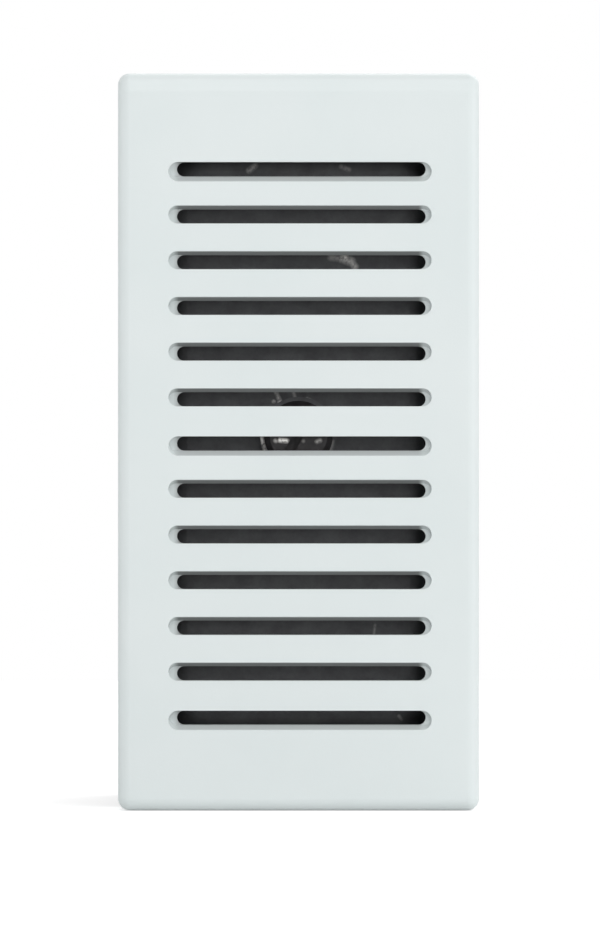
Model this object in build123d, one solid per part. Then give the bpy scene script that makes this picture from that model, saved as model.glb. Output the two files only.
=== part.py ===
"""One-module doorbell sounder for a wall wiring frame.

A white slotted cover hides a pressed gong. Behind it an electromagnet pulls an armature, whose
hammer strikes the gong from inside. Two rising-cage terminals at the back take the bell wires.

Millimetres. X runs across the face, Y from the face (-Y) to the back (+Y), Z up the face. The
origin is the centre of the frame's cut-out, in the plane where the flange sits on the frame.
"""

import os
from math import cos, radians, sin, sqrt, tan

from build123d import *

# Clearances that many pieces share
fit_gap = 0.1  # between pieces that drop into each other
pin_clearance = 0.02  # radial, round a fixed pin or screw
thread_clearance = 0.05  # radial, between a terminal screw and its cage
overrun = 1.0  # how far a cutting solid runs past what it cuts

# The cover: a shallow moulded box, open at the back
face_width = 22.1
face_height = 45.0
cover_depth = 7.8
cover_front_wall = 1.3
cover_side_wall = 1.1
cover_inner_radius = 0.4
cover_edge_radius = 0.7
cover_draft = 0.4  # degrees, each side
brow_height = 1.2  # the shallow bevel along the top of the face
brow_angle = 15.0  # degrees
brow_edge_radius = 0.85
brow_blend_radius = 0.6

# The slots: a recess in the face that slopes in to the throat, with a flat ledge at each end
slot_count = 13
slot_pitch = 2.783
slot_throat_length = 15.15
slot_throat_height = 0.87
slot_recess_length = 15.95
slot_recess_depth = 0.5
slot_end_flare = 0.04  # how much longer the recess is at the face, each end
slot_slope = 0.24  # height of the slope above the throat
low_slot_slope = 0.32  # of the slope below it, in the first, middle and last slots
low_slot_raise = 0.09  # how much higher those three sit than their places in the row
slot_throat_shift = 0.08  # the throats sit a little to the right of their recesses
slot_shift = 0.09  # the row of slots sits a little right of the middle
slot_drop = 0.2  # and a little below it

# The housing: flange, body and the upstands that the cover's catches hold
flange_thickness = 1.2
flange_inset = 0.1
flange_corner_radius = 0.7
body_side_inset = 0.3  # body wall inside the face, left and right
body_end_inset = 2.0  # body wall inside the face, top and bottom
body_wall = 1.3
body_corner_radius = 1.0
cavity_corner_radius = 0.5
upstand_width = 12.0
upstand_depth = 3.6
upstand_thickness = 1.0
catch_width = 8.0
catch_length = 0.8
catch_height = 0.3
catch_setback = 0.5  # from the upstand's free edge
side_relief_depth = 0.3
side_relief_margin = 3.2
side_relief_radius = 1.2

# The snaps that hold the housing in the frame
frame_rail_thickness = 2.0
snap_width = 7.0
snap_height = 1.0
snap_land = 0.7
snap_ramp = 2.6
tongue_slit = 0.8
tongue_length = 7.6
fixed_snap_width = 3.4
fixed_snap_spacing = 11.0

# The magnet frame: a bent steel strip, plate at the front and arm under the coil
frame_setback = 1.0  # plate's front face behind the flange's back face
frame_thickness = 1.5
frame_side_gap = 0.2
frame_corner_radius = 1.0
arm_width = 11.0
arm_overhang = 0.9  # past the core's back
arm_floor_gap = 1.0  # arm above the terminal barrier

# The coil
coil_radius = 7.0
coil_front_gap = 0.3
flange_sheet = 1.2  # bobbin's upper flange
lug_sheet = 2.2  # bobbin's lower flange, which carries the pins
bobbin_wall = 0.75
winding_inset = 0.6
tape_thickness = 0.2
tape_inset = 0.3  # tape shorter than the winding, each end
core_diameter = 5.5
core_proud = 0.2
lug_reach = 4.8  # lug's back face behind the coil's axis
coil_pin_radius = 0.4
coil_pin_depth = 3.0
coil_pin_proud = 0.9

# The armature, its reed and the hammer
strike_angle = 6.0  # degrees, from rest to the struck gong
contact_gap = 0.03  # left at the end of the stroke
armature_width = 11.0
armature_thickness = 1.5
armature_overhang = 0.8
armature_setback = 0.5
armature_corner_radius = 1.0
reed_thickness = 0.1
reed_width = 6.0
reed_bend_radius = 0.5
reed_drop = 5.2  # down the plate, from its top edge
reed_tail = 0.4  # below the clamp
hammer_width = 4.0
hammer_thickness = 0.6
hammer_tail = 7.0  # how far the hammer strip runs back over the armature
hammer_bend_radius = 1.5
hammer_knee = 0.7  # bend's corner in front of the plate
striker_radius = 1.5
striker_width = 5.0
striker_edge = 0.4
rivet_radius = 0.6
rivet_head_radius = 1.15
rivet_head_height = 0.6
rivet_spacing = 3.2
armature_height_share = 0.615  # of the cavity's half height, from the middle up
armature_lift = 0.2  # gap under it, over the plate's top edge
stop_gap = 0.12  # between the resting armature and the stop rib above its end
stop_thickness = 2.6
stop_overlap = 2.0  # how far the rib reaches over the armature's end
clamp_width = 7.4
clamp_height = 3.0
clamp_thickness = 0.8
clamp_screw_spacing = 4.0
clamp_screw_radius = 0.8
clamp_head_radius = 1.3
clamp_head_height = 0.9

# The gong and its fixing
gong_side_gap = 0.95
gong_end_gap = 2.6
gong_depth = 4.0
gong_wall = 0.8
gong_corner_radius = 3.5
gong_edge_radius = 2.2  # outside; the inside of the roll is a plain bevel
post_radius = 2.0
post_raise = 0.4  # above the middle of the face
post_thread_depth = 3.6
spigot_radius = 1.5
gong_screw_radius = 1.25
gong_head_radius = 2.1
gong_head_height = 1.3
gong_head_gap = 0.4  # head to the back of the slotted wall
gong_head_edge = 0.35
driver_slot_width = 0.6
driver_slot_depth = 0.65
driver_slot_angle = 60.0  # degrees
washer_radius = 2.35
washer_thickness = 0.5
washer_split = 0.5
washer_split_angle = 200.0  # degrees

# The terminals
terminal_divider = 3.8
terminal_floor = 1.8  # bottom wall that the wire goes through
terminal_front_wall = 1.0
barrier_thickness = 1.2
cage_width = 6.4
cage_height = 6.2
cage_side_wall = 1.0
cage_jaw = 1.0
cage_nut = 1.8
cage_side_gap = 0.2
cage_end_gap = 0.4
cage_front_gap = 0.3
wire_space = 3.0  # between jaw and bar with the terminal open
wire_hole_radius = 1.5
wire_funnel = 0.6
bar_width = 3.6
bar_thickness = 1.0
terminal_screw_radius = 1.5
terminal_head_radius = 2.7
terminal_head_height = 1.8
terminal_head_gap = 0.2
terminal_head_edge = 0.3
terminal_slot_width = 0.9
terminal_slot_depth = 1.0
terminal_slot_angle = 30.0  # degrees
access_hole_radius = 2.2
collar_width = 0.8
collar_height = 0.5

# The back cover and the screws that hold things together
back_depth = 3.0
back_wall = 1.5
back_chamfer = 1.0
lip_depth = 1.2
lip_thickness = 1.0
case_boss_radius = 2.3
case_boss_length = 8.0
case_screw_hole_radius = 1.1  # in the back cover
case_screw_pilot = 0.9
case_screw_length = 8.5
case_head_radius = 2.0
case_head_height = 1.2
case_head_sink = 0.2
frame_boss_width = 2.85
frame_boss_height = 4.4
frame_boss_gap = 0.4
frame_screw_hole_radius = 1.0  # in the plate
frame_screw_pilot = 0.8
screw_tip_room = 0.6  # left past a screw's tip, in its hole and in its boss
frame_head_radius = 1.75
frame_head_height = 1.1
frame_screw_inset = 1.55  # from the plate's side and ends

# Places worked out from the sizes above
seat_y = 0.0
flange_front = seat_y - flange_thickness
face_y = flange_front - cover_depth
cover_inside_y = face_y + cover_front_wall
cover_inner_width = face_width - 2 * cover_side_wall
cover_inner_height = face_height - 2 * cover_side_wall
body_width = face_width - 2 * body_side_inset
body_height = face_height - 2 * body_end_inset
cavity_half_width = body_width / 2 - body_wall
cavity_half_height = body_height / 2 - body_wall

gong_screw_top = cover_inside_y + gong_head_gap
gong_head_seat = gong_screw_top + gong_head_height
gong_front = gong_head_seat + washer_thickness
gong_inside = gong_front + gong_wall
gong_width = cover_inner_width - 2 * gong_side_gap
gong_height = cover_inner_height - 2 * gong_end_gap

plate_front = seat_y + frame_setback
plate_back = plate_front + frame_thickness
coil_y = plate_back + coil_front_gap + coil_radius
core_radius = core_diameter / 2
lug_back = coil_y + lug_reach

pocket_width = cage_width + 2 * cage_side_gap
pocket_height = cage_height + 2 * cage_end_gap
terminal_x = (terminal_divider + pocket_width) / 2
pocket_floor = -body_height / 2 + terminal_floor
pocket_roof = pocket_floor + pocket_height
terminal_z = pocket_floor + pocket_height / 2
barrier_top = pocket_roof + barrier_thickness
bar_front = lug_back + fit_gap
bar_back = bar_front + bar_thickness
wire_y = bar_front - wire_space / 2
cage_travel = wire_space - fit_gap
cage_back = bar_back + fit_gap + cage_nut
cage_front = bar_front - wire_space - cage_jaw
terminal_head_seat = cage_back + cage_travel + terminal_head_gap
terminal_head_top = terminal_head_seat + terminal_head_height
back_inside = terminal_head_top + terminal_head_gap
back_y = back_inside + back_wall
split_y = back_y - back_depth
block_front = cage_front - cage_front_gap - terminal_front_wall

arm_bottom = barrier_top + arm_floor_gap
arm_top = arm_bottom + frame_thickness
armature_top = cavity_half_height * armature_height_share
armature_bottom = armature_top - armature_thickness
pivot_y = (plate_front + plate_back) / 2
pivot_z = (armature_top + armature_bottom) / 2
turn = radians(strike_angle)
pole_reach = coil_y + core_radius - pivot_y
pole_gap = pole_reach * sin(turn) + armature_thickness / 2 * (1 - cos(turn)) + contact_gap
pole_z = armature_bottom - pole_gap
bobbin_top = pole_z - core_proud
plate_top = armature_bottom - armature_lift

striker_y = (gong_inside + gong_front + gong_depth) / 2
striker_reach = pivot_y - striker_y
gong_roof = gong_height / 2 - gong_wall
striker_rise = gong_roof - contact_gap - striker_radius - pivot_z - striker_reach * sin(turn)
striker_z = pivot_z + striker_rise / cos(turn)
reed_z = armature_top + reed_thickness / 2
reed_y = plate_front - reed_thickness / 2
hammer_z = armature_top + reed_thickness + hammer_thickness / 2
hammer_end = plate_back + hammer_tail
armature_back = coil_y + core_radius + armature_overhang
rivet_y = plate_back + hammer_tail / 2
clamp_z = plate_top - reed_drop + reed_tail + clamp_height / 2
clamp_front = plate_front - reed_thickness - clamp_thickness


def block(x, y, z):
    """A box between two limits on each axis."""
    size = (x[1] - x[0], y[1] - y[0], z[1] - z[0])
    middle = ((x[0] + x[1]) / 2, (y[0] + y[1]) / 2, (z[0] + z[1]) / 2)
    return Pos(*middle) * Box(*size)


def across_face(y):
    """The plane at depth y, drawn as seen from the front: its normal points forwards."""
    return Plane.XZ.offset(-y)


def from_above(z):
    """The plane at height z, drawn as seen from above."""
    return Plane.XY.offset(z)


def prism(outline, y, x=0, z=0):
    """A face-on outline carried from depth y[0] to y[1]."""
    return extrude(across_face(y[1]) * Pos(x, z) * outline, y[1] - y[0])


def rod(radius, y, x=0, z=0):
    """A round bar along Y."""
    return prism(Circle(radius), y, x, z)


def post_up(radius, z, x=0, y=0):
    """A round bar along Z."""
    return extrude(from_above(z[0]) * Pos(x, y) * Circle(radius), z[1] - z[0])


def side_profile(points, half_width, x=0):
    """A closed outline in the YZ plane, carried across X."""
    face = make_face(Plane.YZ * Polyline(*points, close=True))
    return Pos(x) * extrude(face, half_width, both=True)


def strip(points, width, thickness, radius):
    """A bent flat strip: a section swept along a path in the YZ plane."""
    path = FilletPolyline(*[(0, y, z) for y, z in points], radius=radius)
    start = Plane(origin=path @ 0, x_dir=(1, 0, 0), z_dir=path % 0)
    return sweep(start * Rectangle(width, thickness), path)


def frame_boss_end():
    """The back face of the bosses that the magnet frame's screws go into, just short of the coil."""
    boss_inner = cavity_half_width - frame_boss_width
    behind = sqrt(max(coil_radius**2 - boss_inner**2, 0))
    return coil_y - behind - frame_boss_gap


def slot_tunnel(index):
    """The cutter for one slot: a recess that slopes in to the throat, and the throat itself."""
    low = index in (0, slot_count // 2, slot_count - 1)
    slope = low_slot_slope if low else slot_slope
    z = (slot_count // 2 - index) * slot_pitch - slot_drop + (low_slot_raise if low else 0)
    mouth_z = z + (-slope / 2 if low else slope / 2)
    mouth = SlotOverall(slot_recess_length + 2 * slot_end_flare, slot_throat_height + slope)
    foot = SlotOverall(slot_recess_length, slot_throat_height)
    front = across_face(face_y) * Pos(slot_shift, mouth_z) * mouth
    back = across_face(face_y + slot_recess_depth) * Pos(slot_shift, z) * foot
    recess = loft([back.face(), front.face()], ruled=True) + extrude(front, overrun)
    throat = SlotOverall(slot_throat_length, slot_throat_height)
    through = (face_y - overrun, cover_inside_y + overrun)
    return recess + prism(throat, through, slot_shift + slot_throat_shift, z)


def cover_block():
    """The cover's solid outside: a side view with the brow, crossed with a plan with the draft."""
    top = face_height / 2
    lean = cover_depth * tan(radians(cover_draft))
    brow_setback = brow_height * tan(radians(brow_angle))
    side = FilletPolyline(
        (flange_front, -top),
        (face_y, lean - top),
        (face_y, top - brow_height),
        (face_y + brow_setback, top - lean),
        (flange_front, top),
        radius=[cover_edge_radius, brow_blend_radius, brow_edge_radius],
    )
    outline = Plane.YZ * make_face(side + Line(side @ 1, side @ 0))
    shell = extrude(outline, face_width, both=True)
    half = face_width / 2
    plan = Polyline(
        (-half, flange_front),
        (half, flange_front),
        (half - lean, face_y),
        (lean - half, face_y),
        close=True,
    )
    shell &= extrude(make_face(plan), face_height, both=True)
    sides = shell.faces().filter_by(lambda f: abs(f.center().X) > half - lean)
    back = shell.edges().filter_by(lambda e: e.bounding_box().min.Y > flange_front - fit_gap)
    return fillet(sides.edges() - back, cover_edge_radius)


def front_cover():
    """The white slotted cover, with a draft on its sides and a shallow bevel along its brow."""
    hollow = RectangleRounded(cover_inner_width, cover_inner_height, cover_inner_radius)
    shell = cover_block() - prism(hollow, (cover_inside_y, flange_front + overrun))
    for index in range(slot_count):
        shell -= slot_tunnel(index)
    catch_y = flange_front - upstand_depth + catch_setback
    room = catch_height + fit_gap
    for side in (-1, 1):
        wall = side * cover_inner_height / 2
        shell -= block(
            (-catch_width / 2 - fit_gap, catch_width / 2 + fit_gap),
            (catch_y - fit_gap, catch_y + catch_length + fit_gap),
            sorted((wall - side * overrun, wall + side * room)),
        )
    return shell


def snap_tooth(width, side, x):
    """A tooth that catches behind the frame's rail, sloping down towards the back."""
    y = seat_y + frame_rail_thickness + fit_gap
    root = side * (body_height / 2 - body_wall / 2)
    wall = side * body_height / 2
    tip = wall + side * snap_height
    outline = [(y, root), (y, tip), (y + snap_land, tip), (y + snap_land + snap_ramp, wall)]
    outline.append((y + snap_land + snap_ramp, root))
    return side_profile(outline, width / 2, x)


def frame_screw_places():
    """The four corners where the magnet frame is screwed to the housing, as (x, z)."""
    x = cavity_half_width - frame_side_gap - frame_screw_inset
    low = arm_bottom + frame_screw_inset
    high = plate_top - frame_screw_inset
    return [(side * x, z) for side in (-1, 1) for z in (low, high)]


def case_screw_places():
    """The two screws of the back cover, as (x, z): one above the coil, one between terminals."""
    return [(0, cavity_half_height - case_boss_radius), (0, terminal_z)]


def case_boss(y):
    """The round boss above the coil, with the web that joins it to the roof."""
    x, z = case_screw_places()[0]
    web = block(
        (x - case_boss_radius, x + case_boss_radius), y, (z, cavity_half_height + body_wall / 2)
    )
    return rod(case_boss_radius, y, x, z) + web


def upper_cavity(y):
    """The room for the magnet, above the barrier."""
    height = cavity_half_height - barrier_top
    outline = RectangleRounded(2 * cavity_half_width, height, cavity_corner_radius)
    return prism(outline, y, 0, barrier_top + height / 2)


def terminal_pockets(y):
    """The two rooms for the terminals."""
    outline = RectangleRounded(pocket_width, pocket_height, cavity_corner_radius)
    return [prism(outline, y, side * terminal_x, terminal_z) for side in (-1, 1)]


def side_reliefs():
    """Shallow moulded panels in the housing's long sides."""
    height = cavity_half_height - barrier_top
    depth = split_y - seat_y
    span = (depth - 2 * side_relief_margin, height - 2 * side_relief_margin)
    panel = Plane.YZ * RectangleRounded(*span, side_relief_radius)
    panel = Pos(0, seat_y + depth / 2, barrier_top + height / 2) * panel
    inner = body_width / 2 - side_relief_depth
    right = extrude(Pos(inner) * panel, side_relief_depth + overrun)
    left = extrude(Pos(-inner) * panel, -side_relief_depth - overrun)
    return [left, right]


def housing():
    """The moulded body: flange, cavity for the magnet, terminal pockets and frame snaps."""
    rim = RectangleRounded(
        face_width - 2 * flange_inset, face_height - 2 * flange_inset, flange_corner_radius
    )
    body = RectangleRounded(body_width, body_height, body_corner_radius)
    shape = prism(rim, (flange_front, seat_y)) + prism(body, (flange_front, split_y))
    cavity = RectangleRounded(2 * cavity_half_width, 2 * cavity_half_height, cavity_corner_radius)
    shape -= prism(cavity, (flange_front - overrun, block_front))
    shape -= upper_cavity((block_front - overrun, split_y + overrun))
    for pocket in terminal_pockets((cage_front - cage_front_gap, split_y + overrun)):
        shape -= pocket
    for panel in side_reliefs():
        shape -= panel

    # upstands with the catches that hold the cover
    reach = cover_inner_height / 2 - fit_gap
    edge = flange_front - upstand_depth
    for side in (-1, 1):
        outer = side * reach
        inner = side * (reach - upstand_thickness)
        shape += block(
            (-upstand_width / 2, upstand_width / 2), (edge, seat_y - fit_gap), sorted((inner, outer))
        )
        start = edge + catch_setback
        middle = start + catch_length / 2
        tip = outer + side * catch_height
        ridge = [(start, inner), (start, outer), (middle, tip), (start + catch_length, outer)]
        ridge.append((start + catch_length, inner))
        shape += side_profile(ridge, catch_width / 2)

    # the sprung tongue in the roof, and the two fixed teeth under the floor
    shape += snap_tooth(snap_width, 1, 0)
    slit_start = seat_y + frame_rail_thickness + fit_gap
    roof = (cavity_half_height - overrun, body_height / 2 + snap_height + overrun)
    half = snap_width / 2 + fit_gap
    shape -= block(
        (-half - tongue_slit, half + tongue_slit), (slit_start - tongue_slit, slit_start), roof
    )
    for side in (-1, 1):
        x = sorted((side * half, side * (half + tongue_slit)))
        shape -= block(x, (slit_start - tongue_slit, slit_start + tongue_length), roof)
        shape += snap_tooth(fixed_snap_width, -1, side * fixed_snap_spacing / 2)

    # bosses for the magnet frame's screws
    boss_inner = cavity_half_width - frame_boss_width
    boss_back = frame_boss_end()
    for x, z in frame_screw_places():
        side = 1 if x > 0 else -1
        width = sorted((side * boss_inner, side * (cavity_half_width + body_wall / 2)))
        height = (z - frame_boss_height / 2, z + frame_boss_height / 2)
        shape += block(width, (plate_back, boss_back), height)
        shape -= rod(frame_screw_pilot, (plate_back - overrun, boss_back - screw_tip_room), x, z)

    # the boss above the coil, and the rib that stops the armature on its way back up
    shape += case_boss((split_y - case_boss_length, split_y))
    shape += block(
        (-stop_thickness / 2, stop_thickness / 2),
        (armature_back - stop_overlap, split_y - case_boss_length + case_boss_radius),
        (armature_top + stop_gap, cavity_half_height + body_wall / 2),
    )

    # the pilot holes for the back cover's screws
    for x, z in case_screw_places():
        shape -= rod(case_screw_pilot, (split_y - case_screw_length, split_y + overrun), x, z)

    # slots that carry the terminal bars up through the barrier, and the wire holes
    for side in (-1, 1):
        x = side * terminal_x
        half = bar_width / 2 + pin_clearance
        shape -= block(
            (x - half, x + half),
            (bar_front - pin_clearance, bar_back + pin_clearance),
            (pocket_roof - overrun, barrier_top + overrun),
        )
        bottom = -body_height / 2
        shape -= post_up(wire_hole_radius, (bottom - overrun, pocket_floor + overrun), x, wire_y)
        funnel = Cone(
            wire_hole_radius + wire_funnel + overrun,
            wire_hole_radius,
            wire_funnel + overrun,
            align=(Align.CENTER, Align.CENTER, Align.MIN),
        )
        shape -= Pos(x, wire_y, bottom - overrun) * funnel
    return shape


def back_cover():
    """The cap over the coil and terminals, with screwdriver holes in raised collars."""
    outline = RectangleRounded(body_width, body_height, body_corner_radius)
    cap = prism(outline, (split_y, back_y))
    cap = chamfer(cap.faces().sort_by(Axis.Y)[-1].edges(), back_chamfer)
    cap -= upper_cavity((split_y - overrun, back_inside))
    for pocket in terminal_pockets((split_y - overrun, back_inside)):
        cap -= pocket

    # a lip that drops into the housing, broken where the boss stands
    height = cavity_half_height - barrier_top
    lip_y = (split_y - lip_depth, back_inside)
    size = (2 * cavity_half_width - 2 * fit_gap, height - 2 * fit_gap)
    lip = prism(RectangleRounded(*size, cavity_corner_radius), lip_y, 0, barrier_top + height / 2)
    hole = RectangleRounded(
        size[0] - 2 * lip_thickness, size[1] - 2 * lip_thickness, cavity_corner_radius
    )
    inside = (lip_y[0] - overrun, lip_y[1] + overrun)
    lip -= prism(hole, inside, 0, barrier_top + height / 2)
    lip -= block(
        (-case_boss_radius - fit_gap, case_boss_radius + fit_gap),
        (lip_y[0] - overrun, split_y),
        (barrier_top + height / 2, cavity_half_height),
    )
    cap += lip

    cap += case_boss((split_y, back_inside + back_wall / 2))
    for side in (-1, 1):
        x = side * terminal_x
        outer = access_hole_radius + collar_width
        cap += rod(outer, (back_inside, back_y + collar_height), x, terminal_z)
        hole_y = (back_inside - overrun, back_y + collar_height + overrun)
        cap -= rod(access_hole_radius, hole_y, x, terminal_z)
    for x, z in case_screw_places():
        head_y = back_y - case_head_sink - case_head_height
        cap -= rod(case_screw_hole_radius, (split_y - overrun, back_y + overrun), x, z)
        cap -= rod(case_head_radius + fit_gap, (head_y, back_y + overrun), x, z)
    return cap


def plain_screw(head_radius, shank_radius, head, tip, x, z):
    """A screw along Y with a plain head. The second limit of the head is the face it bears on."""
    return rod(head_radius, sorted(head), x, z) + rod(shank_radius, sorted((head[1], tip)), x, z)


def case_screws():
    """The two screws that hold the back cover, their heads sunk in it."""
    bearing = back_y - case_head_sink - case_head_height
    head = (bearing + case_head_height, bearing)
    tip = split_y - case_screw_length + screw_tip_room
    shank = case_screw_pilot - pin_clearance
    places = case_screw_places()
    return Compound([plain_screw(case_head_radius, shank, head, tip, x, z) for x, z in places])


def frame_screws():
    """The four screws that hold the magnet frame: their heads face the gong."""
    head = (plate_front - frame_head_height, plate_front)
    tip = frame_boss_end() - 2 * screw_tip_room
    shank = frame_screw_pilot - pin_clearance
    places = frame_screw_places()
    return Compound([plain_screw(frame_head_radius, shank, head, tip, x, z) for x, z in places])


def magnet_frame():
    """The bent steel frame: a plate behind the gong, and an arm that carries core and coil."""
    half = cavity_half_width - frame_side_gap
    height = plate_top - arm_bottom
    outline = RectangleRounded(2 * half, height, frame_corner_radius)
    plate = prism(outline, (plate_front, plate_back), 0, arm_bottom + height / 2)
    arm_back = coil_y + core_radius + arm_overhang
    arm = block((-arm_width / 2, arm_width / 2), (plate_front, arm_back), (arm_bottom, arm_top))
    corners = arm.edges().filter_by(Axis.Z).sort_by(Axis.Y)[-2:]
    frame = plate + fillet(corners, frame_corner_radius)
    ends = (arm_bottom - overrun, arm_top + overrun)
    frame -= post_up(core_radius + pin_clearance, ends, 0, coil_y)
    through = (plate_front - overrun, plate_back + overrun)
    frame -= rod(spigot_radius + pin_clearance, through, 0, post_raise)
    for x, z in frame_screw_places():
        frame -= rod(frame_screw_hole_radius, through, x, z)
    for side in (-1, 1):
        x = side * clamp_screw_spacing / 2
        frame -= rod(clamp_screw_radius + pin_clearance, through, x, clamp_z)
    return frame


def core():
    """The soft-iron core, riveted into the arm, its pole face just above the bobbin."""
    bar = post_up(core_radius, (arm_bottom, pole_z), 0, coil_y)
    return chamfer(bar.edges().filter_by(GeomType.CIRCLE).sort_by(Axis.Z)[-1], core_proud)


def coil_bobbin():
    """The spool: a round upper flange, and a lower flange drawn out to a lug for the two pins."""
    tube_radius = core_radius + fit_gap + bobbin_wall
    spool = post_up(coil_radius, (arm_top, arm_top + lug_sheet), 0, coil_y)
    wide = terminal_x + bar_width / 2
    spool += block((-wide, wide), (coil_y, lug_back), (arm_top, arm_top + lug_sheet))
    beyond = (lug_back, coil_y + 2 * coil_radius)
    tall = (arm_top - overrun, arm_top + lug_sheet + overrun)
    spool -= block((-2 * coil_radius, 2 * coil_radius), beyond, tall)
    spool += post_up(tube_radius, (arm_top, bobbin_top), 0, coil_y)
    spool += post_up(coil_radius, (bobbin_top - flange_sheet, bobbin_top), 0, coil_y)
    ends = (arm_top - overrun, bobbin_top + overrun)
    spool -= post_up(core_radius + fit_gap, ends, 0, coil_y)
    pin_z = arm_top + lug_sheet / 2
    for side in (-1, 1):
        hole_y = (lug_back - coil_pin_depth, lug_back + overrun)
        spool -= rod(coil_pin_radius + pin_clearance, hole_y, side * terminal_x, pin_z)
    return spool


def winding_span():
    """The height between the bobbin's flanges, as (low, high)."""
    return arm_top + lug_sheet, bobbin_top - flange_sheet


def coil_winding():
    """The copper winding between the flanges."""
    tube_radius = core_radius + fit_gap + bobbin_wall
    outer = coil_radius - winding_inset
    low, high = winding_span()
    wound = post_up(outer, (low, high), 0, coil_y)
    return wound - post_up(tube_radius, (low - overrun, high + overrun), 0, coil_y)


def coil_tape():
    """The insulating tape round the winding."""
    inner = coil_radius - winding_inset
    low, high = winding_span()
    span = (low + tape_inset, high - tape_inset)
    tape = post_up(inner + tape_thickness, span, 0, coil_y)
    return tape - post_up(inner, (low, high), 0, coil_y)


def coil_pins():
    """Two pins through the lug, soldered to the terminal bars."""
    pin_z = arm_top + lug_sheet / 2
    y = (lug_back - coil_pin_depth, bar_back + coil_pin_proud)
    return Compound([rod(coil_pin_radius, y, side * terminal_x, pin_z) for side in (-1, 1)])


def armature():
    """The flat iron armature over the core's pole face."""
    front = plate_front + armature_setback
    half = armature_width / 2
    plate = block((-half, half), (front, armature_back), (armature_bottom, armature_top))
    plate = fillet(plate.edges().filter_by(Axis.Z).sort_by(Axis.Y)[-2:], armature_corner_radius)
    for y in rivet_places():
        span = (armature_bottom - overrun, armature_top + overrun)
        plate -= post_up(rivet_radius + pin_clearance, span, 0, y)
    return plate


def rivet_places():
    """Where the two rivets stand along the armature."""
    return [rivet_y - rivet_spacing / 2, rivet_y + rivet_spacing / 2]


def armature_reed():
    """The spring-steel reed: clamped to the plate, bent over its top edge, riveted to the armature."""
    points = [(reed_y, plate_top - reed_drop), (reed_y, reed_z), (hammer_end, reed_z)]
    reed = strip(points, reed_width, reed_thickness, reed_bend_radius)
    for y in rivet_places():
        reed -= post_up(rivet_radius + pin_clearance, (armature_top - overrun, hammer_z), 0, y)
    for side in (-1, 1):
        through = (clamp_front, plate_back)
        x = side * clamp_screw_spacing / 2
        reed -= rod(clamp_screw_radius + pin_clearance, through, x, clamp_z)
    return reed


def hammer_arm():
    """The hammer's strip: flat on the armature, then bent up into the gong."""
    points = [(hammer_end, hammer_z), (plate_front - hammer_knee, hammer_z), (striker_y, striker_z)]
    arm = strip(points, hammer_width, hammer_thickness, hammer_bend_radius)
    for y in rivet_places():
        span = (armature_top, hammer_z + hammer_thickness)
        arm -= post_up(rivet_radius + pin_clearance, span, 0, y)
    return arm


def hammer_striker():
    """The turned brass striker, slotted over the end of the strip."""
    drum = Rot(0, 90, 0) * Cylinder(striker_radius, striker_width)
    drum = chamfer(drum.edges().filter_by(GeomType.CIRCLE), striker_edge)
    return Pos(0, striker_y, striker_z) * drum - hammer_arm()


def armature_rivets():
    """Two rivets through hammer strip, reed and armature."""
    rivets = []
    top = hammer_z + hammer_thickness / 2
    for y in rivet_places():
        head = post_up(rivet_head_radius, (top, top + rivet_head_height), 0, y)
        rivets.append(head + post_up(rivet_radius, (armature_bottom, top), 0, y))
    return Compound(rivets)


def reed_clamp():
    """The bar that presses the reed against the plate."""
    size = Rectangle(clamp_width, clamp_height)
    bar = prism(size, (clamp_front, clamp_front + clamp_thickness), 0, clamp_z)
    for side in (-1, 1):
        through = (clamp_front - overrun, plate_front)
        x = side * clamp_screw_spacing / 2
        bar -= rod(clamp_screw_radius + pin_clearance, through, x, clamp_z)
    return bar


def reed_screws():
    """Two small screws through the clamp bar."""
    head = (clamp_front - clamp_head_height, clamp_front)
    half = clamp_screw_spacing / 2
    return Compound([
        plain_screw(clamp_head_radius, clamp_screw_radius, head, plate_back, x, clamp_z)
        for x in (-half, half)
    ])


def gong():
    """The pressed gong, open at the back, its front edge rolled over. It is carried at its middle."""
    outline = RectangleRounded(gong_width, gong_height, gong_corner_radius)
    outer = prism(outline, (gong_front, gong_front + gong_depth))
    outer = fillet(outer.faces().sort_by(Axis.Y)[0].edges(), gong_edge_radius)
    room = RectangleRounded(
        gong_width - 2 * gong_wall, gong_height - 2 * gong_wall, gong_corner_radius - gong_wall
    )
    inner = prism(room, (gong_inside, gong_inside + gong_depth))
    bevel = (2 - sqrt(2)) * (gong_edge_radius - gong_wall)  # keeps the wall's thickness on the roll
    inner = chamfer(inner.faces().sort_by(Axis.Y)[0].edges(), bevel)
    hole = (gong_front - overrun, gong_inside + overrun)
    return outer - inner - rod(gong_screw_radius + fit_gap, hole, 0, post_raise)


def gong_post():
    """The turned post that carries the gong, riveted into the plate."""
    post = rod(post_radius, (gong_inside, plate_front), 0, post_raise)
    post += rod(spigot_radius, (plate_front, plate_back), 0, post_raise)
    thread = (gong_inside - overrun, gong_inside + post_thread_depth)
    return post - rod(gong_screw_radius + pin_clearance, thread, 0, post_raise)


def gong_screw():
    """The slotted screw seen through the middle slots."""
    head = rod(gong_head_radius, (gong_screw_top, gong_head_seat), 0, post_raise)
    rim = head.edges().filter_by(GeomType.CIRCLE).sort_by(Axis.Y)[0]
    head = chamfer(rim, gong_head_edge)
    slot = Rot(0, 0, driver_slot_angle) * Rectangle(2 * gong_head_radius + overrun, driver_slot_width)
    front = (gong_screw_top - overrun, gong_screw_top + driver_slot_depth)
    head -= prism(slot, front, 0, post_raise)
    tip = gong_inside + post_thread_depth - fit_gap
    return head + rod(gong_screw_radius, (gong_head_seat, tip), 0, post_raise)


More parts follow.
